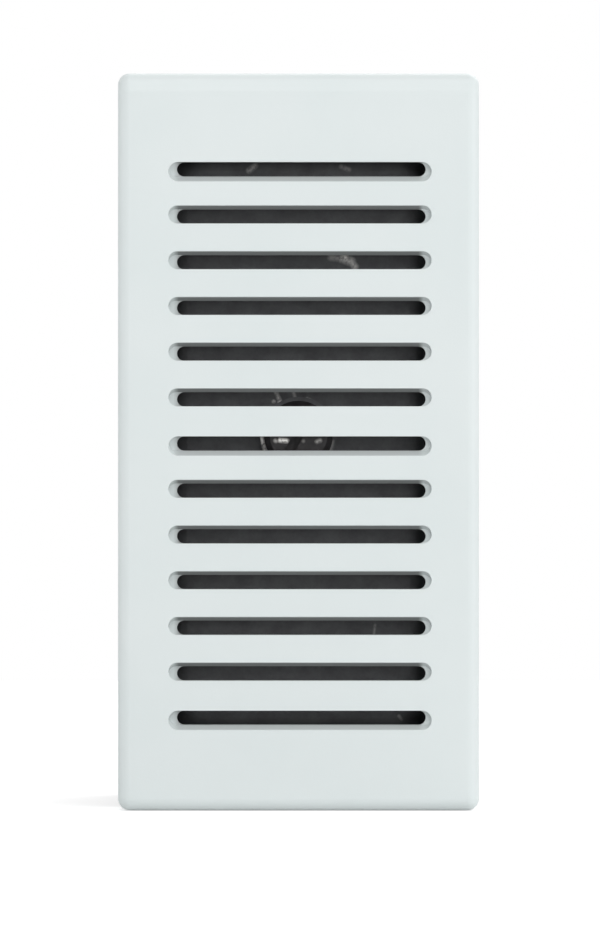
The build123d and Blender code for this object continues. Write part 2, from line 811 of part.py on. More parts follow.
def gong_washer():
    """The split spring washer under the screw's head."""
    ring = Circle(washer_radius) - Circle(gong_screw_radius + fit_gap)
    gap = Pos(washer_radius, 0) * Rectangle(2 * washer_radius, washer_split)
    ring -= Rot(0, 0, washer_split_angle) * gap
    return prism(ring, (gong_head_seat, gong_front), 0, post_raise)


def terminal_bar(side):
    """The brass bar that the screw bears on, running up to its coil pin."""
    x = side * terminal_x
    top = arm_top + lug_sheet
    bar = block((x - bar_width / 2, x + bar_width / 2), (bar_front, bar_back), (pocket_floor, top))
    hole = (bar_front - overrun, bar_back + overrun)
    return bar - rod(coil_pin_radius + pin_clearance, hole, x, arm_top + lug_sheet / 2)


def terminal_cage(side):
    """The rising cage: nut behind the bar, jaw in front of the wire."""
    x = side * terminal_x
    half = cage_width / 2
    z = (terminal_z - cage_height / 2, terminal_z + cage_height / 2)
    ring = block((x - half, x + half), (cage_front, cage_back), z)
    inside = half - cage_side_wall
    beyond = (z[0] - overrun, z[1] + overrun)
    window = (cage_front + cage_jaw, cage_back - cage_nut)
    ring -= block((x - inside, x + inside), window, beyond)
    thread = (cage_back - cage_nut - overrun, cage_back + overrun)
    return ring - rod(terminal_screw_radius + thread_clearance, thread, x, terminal_z)


def terminal_screw(side):
    """The captive terminal screw, its slotted head behind the back cover's hole."""
    x = side * terminal_x
    head = rod(terminal_head_radius, (terminal_head_seat, terminal_head_top), x, terminal_z)
    rim = head.edges().filter_by(GeomType.CIRCLE).sort_by(Axis.Y)[-1]
    head = chamfer(rim, terminal_head_edge)
    outline = Rectangle(2 * terminal_head_radius + overrun, terminal_slot_width)
    slot = Rot(0, 0, side * terminal_slot_angle) * outline
    depth = (terminal_head_top - terminal_slot_depth, terminal_head_top + overrun)
    head -= prism(slot, depth, x, terminal_z)
    return head + rod(terminal_screw_radius, (bar_back, terminal_head_seat), x, terminal_z)


def pieces():
    """Every piece by its node name."""
    made = {
        "front_cover": front_cover(),
        "housing": housing(),
        "back_cover": back_cover(),
        "case_screws": case_screws(),
        "gong": gong(),
        "gong_post": gong_post(),
        "gong_screw": gong_screw(),
        "gong_washer": gong_washer(),
        "magnet_frame": magnet_frame(),
        "frame_screws": frame_screws(),
        "core": core(),
        "coil_bobbin": coil_bobbin(),
        "coil_winding": coil_winding(),
        "coil_tape": coil_tape(),
        "coil_pins": coil_pins(),
        "armature": armature(),
        "armature_reed": armature_reed(),
        "armature_rivets": armature_rivets(),
        "hammer_arm": hammer_arm(),
        "hammer_striker": hammer_striker(),
        "reed_clamp": reed_clamp(),
        "reed_screws": reed_screws(),
    }
    for name, side in (("left", -1), ("right", 1)):
        made[f"terminal_bar_{name}"] = terminal_bar(side)
        made[f"terminal_cage_{name}"] = terminal_cage(side)
        made[f"terminal_screw_{name}"] = terminal_screw(side)
    return made


os.makedirs("parts", exist_ok=True)
for node, shape in pieces().items():
    export_step(shape, f"parts/{node}.step")

print("front", round(face_y, 3), "back", round(back_y + collar_height, 3), "split", round(split_y, 3))
print("armature pivot y, z", round(pivot_y, 3), round(pivot_z, 3), "pole gap", round(pole_gap, 3))
print("striker y, z", round(striker_y, 3), round(striker_z, 3))
print("terminal x, z", round(terminal_x, 3), round(terminal_z, 3), "wire y", round(wire_y, 3))
print("cage travel", round(cage_travel, 3), "coil radius", round(coil_radius, 3))
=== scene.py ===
# %% [markdown]
# # A one-module doorbell sounder
# The object is a small white slotted cover over a blackened gong, in front of a dark moulded body
# that catches in a wall frame. The solids come from the CAD model and stay where they are. This
# script gives them their finishes, adds the pieces that CAD keeps plain, and lights the scene.

# %% Load the fixed frame
from math import pi, radians

import bpy
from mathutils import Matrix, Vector


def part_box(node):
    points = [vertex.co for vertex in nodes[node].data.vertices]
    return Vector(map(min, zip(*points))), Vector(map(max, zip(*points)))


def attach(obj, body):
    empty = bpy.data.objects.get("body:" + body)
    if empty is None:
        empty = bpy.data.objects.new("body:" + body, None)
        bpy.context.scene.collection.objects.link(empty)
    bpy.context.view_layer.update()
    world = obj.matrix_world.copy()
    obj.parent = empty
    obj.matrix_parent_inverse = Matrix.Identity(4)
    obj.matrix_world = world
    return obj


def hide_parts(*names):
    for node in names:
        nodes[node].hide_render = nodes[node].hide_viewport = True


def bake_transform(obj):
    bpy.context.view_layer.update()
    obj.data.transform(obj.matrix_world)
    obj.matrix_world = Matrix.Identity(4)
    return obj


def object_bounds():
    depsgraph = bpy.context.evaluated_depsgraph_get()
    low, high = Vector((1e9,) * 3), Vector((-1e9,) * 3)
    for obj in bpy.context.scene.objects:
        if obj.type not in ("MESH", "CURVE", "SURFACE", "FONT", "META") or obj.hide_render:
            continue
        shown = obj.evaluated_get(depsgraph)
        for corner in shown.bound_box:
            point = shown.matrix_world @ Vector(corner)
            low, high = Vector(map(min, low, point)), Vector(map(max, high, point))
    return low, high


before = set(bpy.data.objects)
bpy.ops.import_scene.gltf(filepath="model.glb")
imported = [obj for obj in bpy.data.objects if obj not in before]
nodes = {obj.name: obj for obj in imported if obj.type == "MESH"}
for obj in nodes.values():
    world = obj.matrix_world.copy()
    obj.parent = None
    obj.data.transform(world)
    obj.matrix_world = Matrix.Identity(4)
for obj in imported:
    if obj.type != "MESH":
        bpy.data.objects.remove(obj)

mm = 0.001  # Blender counts in metres
scene = bpy.context.scene
cad_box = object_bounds()

# %% [markdown]
# ## Small helpers
# Colours are written as the hex codes that a paint card would give. Blender's sockets hold linear
# light, so one function turns the codes. One more function adds any node, gives it its settings,
# and sets or links its inputs. Every finish below is built openly with it, node by node, because
# that is how the node editor would show it.

# %% Colours and nodes
def linear(code):
    """The linear colour of an sRGB hex code such as #E0E6E6."""
    parts = [int(code[i:i + 2], 16) / 255 for i in (1, 3, 5)]
    return [c / 12.92 if c <= 0.04045 else ((c + 0.055) / 1.055) ** 2.4 for c in parts] + [1.0]


def add_node(tree, kind, inputs=(), output=0, **settings):
    """Add a shader node. An input is a value or another node's output. Returns one output."""
    node = tree.nodes.new("ShaderNode" + kind)
    for name, value in settings.items():
        setattr(node, name, value)
    for name, value in dict(inputs).items():
        if isinstance(value, bpy.types.NodeSocket):
            tree.links.new(value, node.inputs[name])
        else:
            node.inputs[name].default_value = value
    return node.outputs[output] if node.outputs else node


def start_material(name):
    """A material with an empty tree, and the object's own coordinates to draw on."""
    material = bpy.data.materials.new(name)
    material.use_nodes = True
    tree = material.node_tree
    tree.nodes.clear()
    return material, tree, add_node(tree, "TexCoord", output="Object")


def coat(material, *names):
    """Put a material on CAD nodes, in the slots that they already have."""
    for name in names:
        if not nodes[name].material_slots:
            nodes[name].data.materials.append(material)
        for place in nodes[name].material_slots:
            place.material = material
    print(material.name, "on", ", ".join(names))


print("#808080 in linear light:", round(linear("#808080")[0], 3))

# %% [markdown]
# ## The camera
# The photograph shows the face square on, with both long edges exactly parallel, so the camera
# stands straight in front of it. A long lens from 0.6 m keeps the walls of the slots out of sight,
# as they are in the picture. The picture is 600 by 929, and a camera's sensor width counts along
# the longer side, so the lens follows from the height that the picture covers at the face.

# %% Camera
face_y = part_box("front_cover")[0].y
camera_distance = 0.6
picture_rows, rows_per_mm = 929, 16.43  # as measured in the photograph
picture_height = picture_rows / rows_per_mm * mm
aim_x, aim_z = 0.09 * mm, -1.39 * mm  # where the middle of the picture lies on the face
camera_data = bpy.data.cameras.new("camera")
camera_data.sensor_width = 36.0
camera_data.lens = camera_data.sensor_width * camera_distance / picture_height
camera_data.clip_start = 0.01
camera = bpy.data.objects.new("camera", camera_data)
camera.location = (aim_x, face_y - camera_distance, aim_z)
camera.rotation_euler = (pi / 2, 0, 0)
scene.collection.objects.link(camera)
scene.camera = camera
print("lens", round(camera_data.lens, 1), "mm")

# %% [markdown]
# ## The surroundings
# In the photograph all four rounded edges are nearly as bright as the face, and there is no
# shadow to see. That is the light of a white tent, which comes from all round. So half of the
# light here comes from plain white surroundings, and soft lamps add the rest. The right edge is
# the palest and the bottom edge the darkest, which sets the lamps' sides and strengths. To the
# camera and in reflections the surroundings are white, whatever their strength.

# %% Surroundings
scene.view_settings.view_transform = "Standard"
ambient = 0.5
surroundings = bpy.data.worlds.new("white studio")
surroundings.use_nodes = True
scene.world = surroundings
tree = surroundings.node_tree
tree.nodes.clear()
seen = add_node(tree, "Math", {
    0: add_node(tree, "LightPath", output="Is Camera Ray"),
    1: add_node(tree, "LightPath", output="Is Glossy Ray")}, operation="MAXIMUM")
seen = add_node(tree, "Math", {
    0: seen, 1: add_node(tree, "LightPath", output="Is Transmission Ray")}, operation="MAXIMUM")
strength = add_node(tree, "MapRange", {"Value": seen, "To Min": ambient, "To Max": 1.0})
glow = add_node(tree, "Background", {"Color": (1.0, 1.0, 1.0, 1.0), "Strength": strength})
add_node(tree, "OutputWorld", {"Surface": glow})
print("ambient light", ambient)

# %% [markdown]
# ## The floor
# The floor is a sheet of matt paper. To the camera it gets a little light of its own, so that it
# is white wherever nothing shades it, and the shadow under the part stays. Seen from below it is
# clear, because a view from below would otherwise show only paper.

# %% Floor
floor_size, paper_glow = 0.7, 0.55
bpy.ops.object.select_all(action="DESELECT")
bpy.ops.mesh.primitive_plane_add(size=floor_size, location=(0, 0, cad_box[0].z))
floor = bpy.context.object
floor.name = "floor"
paper, tree, _ = start_material("matt white paper")
seen = add_node(tree, "Math", {
    0: add_node(tree, "LightPath", output="Is Camera Ray"),
    1: add_node(tree, "LightPath", output="Is Glossy Ray")}, operation="MAXIMUM")
lift = add_node(tree, "Math", {0: seen, 1: paper_glow}, operation="MULTIPLY")
sheet = add_node(tree, "BsdfDiffuse", {"Color": linear("#E8E8E8")})
white = add_node(tree, "Emission", {"Strength": lift})
both = add_node(tree, "AddShader", {0: sheet, 1: white})
clear = add_node(tree, "BsdfTransparent")
under = add_node(tree, "NewGeometry", output="Backfacing")
add_node(tree, "OutputMaterial", {
    "Surface": add_node(tree, "MixShader", {0: under, 1: both, 2: clear})})
floor.data.materials.append(paper)
print("floor at", round(cad_box[0].z / mm, 2), "mm")

# %% [markdown]
# ## The lamps
# Each lamp is a square soft box aimed at the face. Light thins out with the square of the distance,
# so a lamp's power is worked out from its distance and from a level: a level of 1 alone, straight
# in front of the face, would show a colour as written. The levels are small, because five lamps and
# the surroundings add up. The front lamp stands wholly above the floor's plane. A lower one lights
# the top of the face more than its foot, because the floor hides more of it from the foot.

# %% Lamps
def soft_lamp(name, direction, distance, size, level):
    """A square soft lamp aimed at the face. Its distance and its size are in metres."""
    data = bpy.data.lights.new(name, "AREA")
    data.shape = "SQUARE"
    data.size = size
    data.energy = level * pi * pi * distance * distance
    lamp = bpy.data.objects.new(name, data)
    away = Vector(direction).normalized()
    lamp.location = Vector((0, face_y, 0)) + away * distance
    lamp.rotation_euler = away.to_track_quat("Z", "Y").to_euler()
    scene.collection.objects.link(lamp)


soft_lamp("front lamp", (0.3, -1.0, 0.17), distance=0.9, size=0.3, level=0.135)
soft_lamp("right lamp", (1.0, -0.4, 0.1), distance=0.9, size=0.6, level=0.34)
soft_lamp("left lamp", (-1.0, -0.5, 0.0), distance=1.0, size=0.6, level=0.18)
soft_lamp("overhead lamp", (0.0, -0.8, 1.0), distance=0.9, size=0.6, level=0.22)
soft_lamp("back lamp", (0.4, 1.0, 0.9), distance=1.0, size=0.7, level=0.34)

# %% [markdown]
# ## White moulded plastic
# The cover is an injection-moulded polycarbonate blend in a slightly cold white. Its mould is
# spark eroded, which leaves a fine matt grain that softens every highlight, so the eye reads a
# smooth surface with no mirror in it. Real grain is about 0.03 mm. It is drawn at 0.12 mm here,
# because a finer one falls between the render's pixels. A slow cloud a few millimetres wide keeps
# the large face from being one flat colour. In the photograph the walls of the slots are darker
# than these shallow slopes come out, above all where they face down. So their tone is greyer, to
# stand in for that shade. Depth marks the walls, and the surface normal tells up from down.

# %% Cover: the tone of its face
spread = {"From Min": 0.35, "From Max": 0.65}  # most of a noise's values lie between these
wide_spread = {"From Min": 0.3, "From Max": 0.7}  # and nearly all between these
cover_plastic, tree, place = start_material("white_moulded_polycarbonate")
cloud = add_node(tree, "TexNoise", {"Vector": place, "Scale": 1 / (9 * mm), "Detail": 2.0})
share = add_node(tree, "MapRange", {"Value": cloud, **spread})
face_tone = add_node(tree, "Mix", {0: share, 6: linear("#DDE5E5"), 7: linear("#E0E7E7")},
                     output=2, data_type="RGBA")
print("face at", round(face_y / mm, 2), "mm")

# %% Cover: the tone of the slots' walls
wall_start, wall_full = 0.01 * mm, 0.1 * mm  # below the face, where the grey starts and is full
slot_end, end_blend = 7.3 * mm, 0.3 * mm  # where a slot's round end starts
end_share = 0.3  # how much of the grey the round ends get
field_x, field_z = 9.0 * mm, 18.5 * mm  # half the field of slots, clear of the cover's edges
tilt = 0.4  # a wall whose normal rises or falls by this much counts as facing up or down
spot = add_node(tree, "SeparateXYZ", {"Vector": place}).node.outputs
depth = add_node(tree, "MapRange", {
    "Value": spot["Y"], "From Min": face_y + wall_start, "From Max": face_y + wall_full})
off_x = add_node(tree, "Math", {0: spot["X"]}, operation="ABSOLUTE")
off_z = add_node(tree, "Math", {0: spot["Z"]}, operation="ABSOLUTE")
along_slot = add_node(tree, "MapRange", {
    "Value": off_x, "From Min": slot_end, "From Max": slot_end + end_blend,
    "To Min": 1.0, "To Max": end_share})
in_x = add_node(tree, "Math", {0: off_x, 1: field_x}, operation="LESS_THAN")
in_z = add_node(tree, "Math", {0: off_z, 1: field_z}, operation="LESS_THAN")
in_field = add_node(tree, "Math", {0: in_x, 1: in_z}, operation="MULTIPLY")
wall = add_node(tree, "Math", {0: depth, 1: along_slot}, operation="MULTIPLY")
wall = add_node(tree, "Math", {0: wall, 1: in_field}, operation="MULTIPLY")
normal = add_node(tree, "NewGeometry", output="Normal")
normal_z = add_node(tree, "SeparateXYZ", {"Vector": normal}, output="Z")
upward = add_node(tree, "MapRange", {"Value": normal_z, "From Min": -tilt, "From Max": tilt})
wall_tone = add_node(tree, "Mix", {0: upward, 6: linear("#7D8080"), 7: linear("#C8CECE")},
                     output=2, data_type="RGBA")
tone = add_node(tree, "Mix", {0: wall, 6: face_tone, 7: wall_tone}, output=2, data_type="RGBA")
print("field of slots:", 2 * field_x / mm, "by", 2 * field_z / mm, "mm")

# %% Cover: its grain
spark = add_node(tree, "TexNoise", {"Vector": place, "Scale": 1 / (0.12 * mm), "Detail": 4.0})
rough = add_node(tree, "MapRange", {
    "Value": spark, **wide_spread, "To Min": 0.4, "To Max": 0.5})
relief = add_node(tree, "Bump", {"Height": spark, "Distance": 0.004 * mm})
skin = add_node(tree, "BsdfPrincipled", {
    "Base Color": tone, "Roughness": rough, "IOR": 1.58, "Normal": relief})
add_node(tree, "OutputMaterial", {"Surface": skin})
coat(cover_plastic, "front_cover")

# %% [markdown]
# ## Anthracite moulded plastic
# Body and back cover are glass-filled nylon, which flows in streaks and comes out of the mould a
# little mottled and duller where the fibres lie. Two close greys are blended along a stretched
# noise for the flow, and a finer noise gives the matt grain. That grain is 0.06 mm on the real
# part and three times as coarse here, so that it shows.

# %% Body finish
body_plastic, tree, place = start_material("anthracite_glass_filled_nylon")
along = add_node(tree, "Mapping", {"Vector": place, "Scale": (1.0, 0.35, 1.0)})
streak = add_node(tree, "TexNoise", {
    "Vector": along, "Scale": 1 / (2.5 * mm), "Detail": 5.0, "Distortion": 0.4})
share = add_node(tree, "MapRange", {"Value": streak, **wide_spread})
tone = add_node(tree, "Mix", {0: share, 6: linear("#36383A"), 7: linear("#424446")},
                output=2, data_type="RGBA")
spark = add_node(tree, "TexNoise", {"Vector": place, "Scale": 1 / (0.18 * mm), "Detail": 4.0})
rough = add_node(tree, "MapRange", {
    "Value": spark, **wide_spread, "To Min": 0.42, "To Max": 0.62})
relief = add_node(tree, "Bump", {"Height": spark, "Distance": 0.012 * mm})
skin = add_node(tree, "BsdfPrincipled", {
    "Base Color": tone, "Roughness": rough, "IOR": 1.53, "Normal": relief})
add_node(tree, "OutputMaterial", {"Surface": skin})
coat(body_plastic, "housing", "back_cover")

# %% [markdown]
# ## Blackened steel
# The gong is pressed from sheet steel and blackened in a hot salt bath, as are its screw and
# washer. The black layer is thin. A few small pale marks are all that can be made out through the
# slots. Those round the screw's head, on the head, its washer and the gong behind, are painted
# highlights: glints of the head's rim and face, drawn into the colour as pale steel. The others are
# places where the black is rubbed through to bare steel. A mark is a round patch or a short stroke,
# drawn as the distance from a line. A crumbly noise breaks its edge. The same mask turns the colour
# to pale bare steel and makes it smoother. Scuffed steel is not a mirror, so the marks stay rough
# enough to catch the light of a narrow slot from any side. The three blacks were matched to the
# photograph as painted shade: the head stands nearer to the slots and gets more light, and is no
# paler there, so its black is painted darker; the washer's black is painted a little paler, against
# the head's shade.

# %% Painted glints and worn places
def glint_and_wear_along(tree, place, start, end, width, bright):
    """How pale a mark along a line in millimetres is, from its middle outwards. The marks are
    painted glints and places where the black is rubbed off.
    """
    start, end = Vector(start) * mm, Vector(end) * mm
    run = end - start
    away = add_node(tree, "VectorMath", {0: place, 1: start}, operation="SUBTRACT")
    if run.length:
        share = add_node(tree, "VectorMath", {0: away, 1: run / run.length_squared},
                         output="Value", operation="DOT_PRODUCT")
        share = add_node(tree, "Clamp", {"Value": share})
        nearest = add_node(tree, "VectorMath", {0: run, "Scale": share}, operation="SCALE")
        away = add_node(tree, "VectorMath", {0: away, 1: nearest}, operation="SUBTRACT")
    distance = add_node(tree, "VectorMath", {0: away}, output="Value", operation="LENGTH")
    return add_node(tree, "MapRange", {
        "Value": distance, "From Min": 0.1 * width * mm, "From Max": width * mm,
        "To Min": bright, "To Max": 0.0})


def blackened(name, dark, pale, places):
    """Blackened steel in two close tones, with pale marks at places (start, end, width, bright):
    painted glints and worn spots.
    """
    material, tree, place = start_material(name)
    mottle = add_node(tree, "TexNoise", {"Vector": place, "Scale": 1 / (1.4 * mm), "Detail": 6.0})
    share = add_node(tree, "MapRange", {"Value": mottle, **spread})
    black = add_node(tree, "Mix", {0: share, 6: linear(dark), 7: linear(pale)},
                     output=2, data_type="RGBA")
    crumb = add_node(tree, "TexNoise", {"Vector": place, "Scale": 1 / (0.16 * mm), "Detail": 3.0})
    whole = add_node(tree, "MapRange", {
        "Value": crumb, "From Min": 0.36, "From Max": 0.5, "To Min": 0.45, "To Max": 1.0})
    glint_and_wear_mask = 0.0
    for start, end, width, bright in places:
        one = glint_and_wear_along(tree, place, start, end, width, bright)
        glint_and_wear_mask = add_node(tree, "Math", {0: glint_and_wear_mask, 1: one}, operation="MAXIMUM")
    glint_and_wear_mask = add_node(tree, "Math", {0: glint_and_wear_mask, 1: whole}, operation="MULTIPLY")
    tone = add_node(tree, "Mix", {0: glint_and_wear_mask, 6: black, 7: linear("#F4F2EE")},
                    output=2, data_type="RGBA")
    dull = add_node(tree, "MapRange", {
        "Value": crumb, **wide_spread, "To Min": 0.48, "To Max": 0.64})
    rough = add_node(tree, "Mix", {0: glint_and_wear_mask, 2: dull, 3: 0.4})
    metallic = add_node(tree, "MapRange", {"Value": glint_and_wear_mask, "To Min": 0.5, "To Max": 0.7})
    relief = add_node(tree, "Bump", {"Height": mottle, "Distance": 0.01 * mm})
    skin = add_node(tree, "BsdfPrincipled", {
        "Base Color": tone, "Roughness": rough, "Metallic": metallic, "Normal": relief})
    add_node(tree, "OutputMaterial", {"Surface": skin})
    return material


# %% Gong, its screw and its washer
gong_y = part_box("gong")[0].y / mm
washer_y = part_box("gong_washer")[0].y / mm
head_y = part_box("gong_screw")[0].y / mm
# Marks on the gong: those round the screw head, at z near 0 and from 2.3 to 3.2 mm, are painted
# highlights of its rim; the others are worn spots. The last number of each is how pale it is.
gong_glints_and_wear = [  # (x, z) of both ends and the width, in millimetres, and how bare the steel is
    ((-2.66, 16.91), (-3.03, 16.61), 0.24, 0.4), ((2.6, 16.85), (3.09, 16.67), 0.2, 0.28),
    ((1.99, 11.3), (2.66, 11.24), 0.3, 0.36), ((2.66, 11.24), (3.21, 11.05), 0.36, 0.6),
    ((3.15, 11.13), (3.46, 10.72), 0.28, 0.55), ((2.84, 11.31), (2.84, 11.31), 0.32, 0.95),
    ((-1.4, 3.08), (-1.23, 2.71), 0.17, 0.42), ((-1.23, 2.71), (-1.08, 2.37), 0.18, 0.5),
    ((-1.13, 2.43), (-1.13, 2.43), 0.2, 1.0), ((-1.52, 2.47), (-1.52, 2.47), 0.16, 0.6),
    ((-0.35, 3.17), (-0.22, 2.74), 0.15, 0.3), ((-0.22, 2.74), (-0.14, 2.33), 0.13, 0.22),
    ((0.54, 2.62), (1.15, 2.25), 0.18, 0.42), ((4.68, -11.22), (4.62, -11.77), 0.12, 0.2),
    ((6.15, -16.79), (6.33, -17.03), 0.15, 0.35), ((-2.14, -0.12), (-2.04, -0.5), 0.2, 1.0)]
# The washer's marks are painted highlights of the screw head's rim.
washer_glints = [((-2.26, 0.2), (-2.06, -0.5), 0.2, 0.9), ((2.1, 0.05), (1.98, -0.42), 0.16, 0.3)]
# The head's marks are painted highlights on its face.
head_glints = [
    ((-1.41, 0.07), (-1.38, 0.05), 0.18, 0.5), ((-1.13, 0.09), (-0.72, 0.06), 0.2, 1.0),
    ((0.3, 0.04), (0.3, 0.04), 0.16, 0.25), ((1.12, 0.0), (1.32, 0.07), 0.18, 0.4)]


def on_plane(glints_and_wear, y):
    """Painted glints and worn places on a plane at depth y, in millimetres."""
    return [((a[0], y, a[1]), (b[0], y, b[1]), width, bright) for a, b, width, bright in glints_and_wear]


# The three blacks are shaded copies of one steel: the head's is painted darker because it gets more
# light, and the washer's a little paler, against the head's shade.
coat(blackened("blackened_pressed_steel", "#5C5D5F", "#68696B", on_plane(gong_glints_and_wear, gong_y)),
     "gong")
coat(blackened("blackened_spring_steel", "#626365", "#6D6E70", on_plane(washer_glints, washer_y)),
     "gong_washer")
coat(blackened("blackened_screw_steel", "#373637", "#413F40", on_plane(head_glints, head_y)),
     "gong_screw")

# %% [markdown]
# ## Bare and plated metals
# Zinc plate is bluish and slightly cloudy. Spring steel and strip brass keep long rolling lines,
# and the striker keeps the fine rings of the lathe tool. Each of them is a metal whose colour and
# roughness change a little over a noise. Stretching that noise along the direction of rolling or
# turning gives lines or rings. Rolling lines are 0.02 mm apart on real strip, and are drawn at
# about 0.08 mm so that they show.

# %% Metal finishes
def worked_metal(name, first, second, roughness, lump, stretch=(1.0, 1.0, 1.0), depth=0.003):
    """A metal in two close tones. Its grain is long along each axis where stretch is small."""
    material, tree, place = start_material(name)
    patch = add_node(tree, "TexNoise", {"Vector": place, "Scale": 1 / (lump * mm), "Detail": 4.0})
    share = add_node(tree, "MapRange", {"Value": patch, **spread})
    tone = add_node(tree, "Mix", {0: share, 6: linear(first), 7: linear(second)},
                    output=2, data_type="RGBA")
    along = add_node(tree, "Mapping", {"Vector": place, "Scale": stretch})
    fine = add_node(tree, "TexNoise", {"Vector": along, "Scale": 1 / (0.08 * mm), "Detail": 3.0})
    rough = add_node(tree, "MapRange", {
        "Value": fine, **wide_spread,
        "To Min": roughness - 0.06, "To Max": roughness + 0.08})
    relief = add_node(tree, "Bump", {"Height": fine, "Distance": depth * mm})
    skin = add_node(tree, "BsdfPrincipled", {
        "Base Color": tone, "Metallic": 1.0, "Roughness": rough, "Normal": relief})
    add_node(tree, "OutputMaterial", {"Surface": skin})
    return material


zinc = worked_metal("zinc_plated_steel", "#BCC1C6", "#CBCFD2", 0.32, 1.2)
soft_iron = worked_metal("plated_soft_iron", "#AEB0B2", "#BABCBE", 0.4, 1.5, (1.0, 0.1, 1.0))
spring_steel = worked_metal(
    "rolled_spring_steel", "#9498A0", "#A3A7AE", 0.28, 0.8, (1.0, 0.05, 0.05))
turned_brass = worked_metal(
    "turned_brass", "#D9B663", "#E2C27A", 0.22, 0.9, (1.0, 0.03, 0.03), 0.006)
strip_brass = worked_metal("rolled_strip_brass", "#D2AE5E", "#DDBC74", 0.3, 1.1, (1.0, 1.0, 0.05))
tin = worked_metal("hot_tinned_copper", "#D3D3CF", "#DDDDD9", 0.24, 0.6, depth=0.01)
coat(zinc, "frame_screws", "reed_screws", "magnet_frame", "reed_clamp", "gong_post",
     "terminal_cage_left", "terminal_cage_right")
coat(soft_iron, "core", "armature")
coat(spring_steel, "hammer_arm")
coat(turned_brass, "armature_rivets", "hammer_striker")
coat(strip_brass, "terminal_bar_left", "terminal_bar_right")
coat(tin, "coil_pins")

# %% [markdown]
# ## Enamelled wire
# Winding wire is copper under a clear amber enamel, so to the eye it is a warm metal with a thin
# glossy coat over it. The coat's own sockets on the Principled shader give exactly that.

# %% Wire finish
enamelled_wire, tree, place = start_material("enamelled_copper_wire")
patch = add_node(tree, "TexNoise", {"Vector": place, "Scale": 1 / (0.7 * mm), "Detail": 4.0})
share = add_node(tree, "MapRange", {"Value": patch, **spread})
tone = add_node(tree, "Mix", {0: share, 6: linear("#B9622F"), 7: linear("#CB7C49")},
                output=2, data_type="RGBA")
skin = add_node(tree, "BsdfPrincipled", {
    "Base Color": tone, "Metallic": 1.0, "Roughness": 0.32,
    "Coat Weight": 0.7, "Coat Roughness": 0.12, "Coat IOR": 1.6})
add_node(tree, "OutputMaterial", {"Surface": skin})
print(enamelled_wire.name)

# %% [markdown]
# ## Natural nylon
# The bobbin is unpigmented nylon, which is milky: some light goes in and comes back out, so thin
# edges look warmer than thick ones. Subsurface scattering does that. A faint flow cloud keeps it
# from looking like paint.

# %% Bobbin finish
nylon, tree, place = start_material("natural_nylon")
flow = add_node(tree, "TexNoise", {"Vector": place, "Scale": 1 / (1.8 * mm), "Detail": 4.0})
share = add_node(tree, "MapRange", {"Value": flow, **spread})
tone = add_node(tree, "Mix", {0: share, 6: linear("#D9D0B8"), 7: linear("#E3DCC8")},
                output=2, data_type="RGBA")
spark = add_node(tree, "TexNoise", {"Vector": place, "Scale": 1 / (0.1 * mm), "Detail": 3.0})
relief = add_node(tree, "Bump", {"Height": spark, "Distance": 0.004 * mm})
skin = add_node(tree, "BsdfPrincipled", {
    "Base Color": tone, "Roughness": 0.42, "IOR": 1.53, "Normal": relief,
    "Subsurface Weight": 0.25, "Subsurface Radius": (0.9, 0.7, 0.4),
    "Subsurface Scale": 0.6 * mm})
add_node(tree, "OutputMaterial", {"Surface": skin})
coat(nylon, "coil_bobbin")

# %% [markdown]
# ## Polyester film tape
# The tape is a thin amber film, smooth enough to mirror the lamps. The copper under it shows as
# darker bands that run round the coil, so its noise is stretched across X and Y.

# %% Tape finish
film, tree, place = start_material("amber_polyester_film")
around = add_node(tree, "Mapping", {"Vector": place, "Scale": (0.1, 0.1, 1.0)})
turns_below = add_node(tree, "TexNoise", {"Vector": around, "Scale": 1 / (0.3 * mm)})
share = add_node(tree, "MapRange", {"Value": turns_below, **spread})
tone = add_node(tree, "Mix", {0: share, 6: linear("#B98326"), 7: linear("#D9AD52")},
                output=2, data_type="RGBA")
relief = add_node(tree, "Bump", {"Height": turns_below, "Distance": 0.01 * mm})
skin = add_node(tree, "BsdfPrincipled", {
    "Base Color": tone, "Roughness": 0.16, "IOR": 1.6, "Normal": relief})
add_node(tree, "OutputMaterial", {"Surface": skin})
coat(film, "coil_tape")

# %% [markdown]
# ## Modelling helpers
# The pieces from here on are modelled as by hand: a primitive, edit-mode operators, and modifiers
# that are applied. An operator works on all that is selected, so one helper deselects everything
# first. Another picks points by their place. Two make the plain bodies to start from or to cut
# with. The last one puts a piece's place into its mesh, turns its faces outwards, smooths it, and
# gives it its finish and its name.

# %% Selecting
def only(*chosen):
    """Deselect everything, then select these objects and make the first one active."""
    bpy.ops.object.select_all(action="DESELECT")
    for piece in chosen:
        piece.select_set(True)
    if chosen:
        bpy.context.view_layer.objects.active = chosen[0]


def pick(test):
    """In edit mode, select the points whose place passes the test, and what they close."""
    piece = bpy.context.object
    bpy.ops.mesh.select_mode(type="VERT")
    bpy.ops.mesh.select_all(action="DESELECT")
    bpy.ops.object.mode_set(mode="OBJECT")
    for vertex in piece.data.vertices:
        vertex.select = bool(test((piece.matrix_world @ vertex.co) / mm))
    bpy.ops.object.mode_set(mode="EDIT")


# %% Blocks, cuts and joining
def cylinder(radius, low, high, x, z, sides):
    """A cylinder along Y between two depths, in millimetres."""
    only()
    bpy.ops.mesh.primitive_cylinder_add(
        vertices=sides, radius=radius * mm, depth=(high - low) * mm,
        location=(x * mm, (low + high) / 2 * mm, z * mm), rotation=(pi / 2, 0, 0))
    bpy.ops.object.transform_apply(location=True, rotation=True, scale=True)
    return bpy.context.object


def bar_tool(centre, size, turn):
    """A block to cut with, turned about Y, in millimetres."""
    only()
    bpy.ops.mesh.primitive_cube_add(
        size=1.0, location=Vector(centre) * mm, rotation=(0, turn, 0))
    bpy.context.object.scale = Vector(size) * mm
    bpy.ops.object.transform_apply(location=True, rotation=True, scale=True)
    return bpy.context.object


